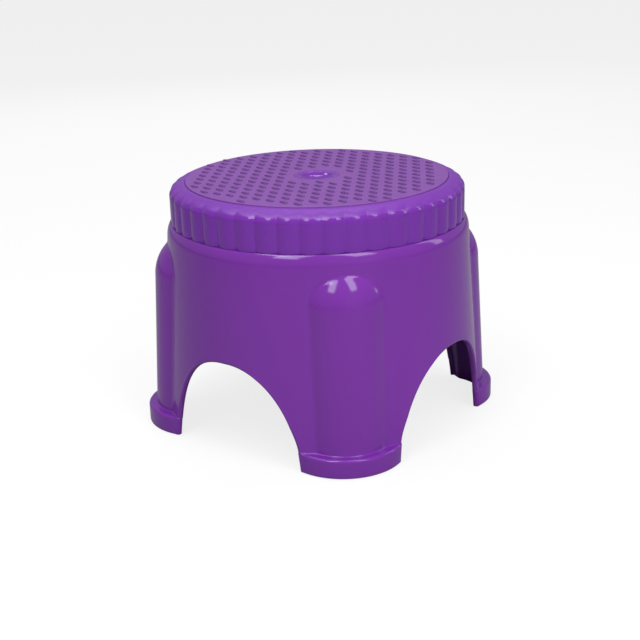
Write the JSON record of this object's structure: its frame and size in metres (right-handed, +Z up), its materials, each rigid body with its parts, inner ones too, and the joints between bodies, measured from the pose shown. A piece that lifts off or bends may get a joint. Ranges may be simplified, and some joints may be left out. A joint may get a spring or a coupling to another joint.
{
  "type": "step stool",
  "caption": "Low round step stool: conical skirt with arched openings between legs, fluted seat cap, textured anti-slip tread disc with a dished centre, and rubber foot pads.",
  "frame": {"origin": "on the floor under the middle of the seat, at the centre of the bottom of the object's box", "axes": "+Z up through the middle of the seat; the four legs stand at 45 degrees to +X and +Y, so the four arches face +X, -X, +Y and -Y"},
  "size_m": [0.2688, 0.2688, 0.211],
  "materials": {
    "body_plastic": "glossy moulded purple polypropylene",
    "cap_plastic": "glossy moulded purple polypropylene",
    "tread_plastic": "satin purple polypropylene with raised anti-slip grains",
    "cup_plastic": "glossy moulded purple polypropylene",
    "pad_rubber": "matte dark rubber"
  },
  "bodies": {
    "root": {"body_shell": "body_plastic", "seat_cap": "cap_plastic", "tread_disc": "tread_plastic", "centre_cup": "cup_plastic", "foot_pad_1": "pad_rubber", "foot_pad_2": "pad_rubber", "foot_pad_3": "pad_rubber", "foot_pad_4": "pad_rubber"}
  },
  "joints": []
}
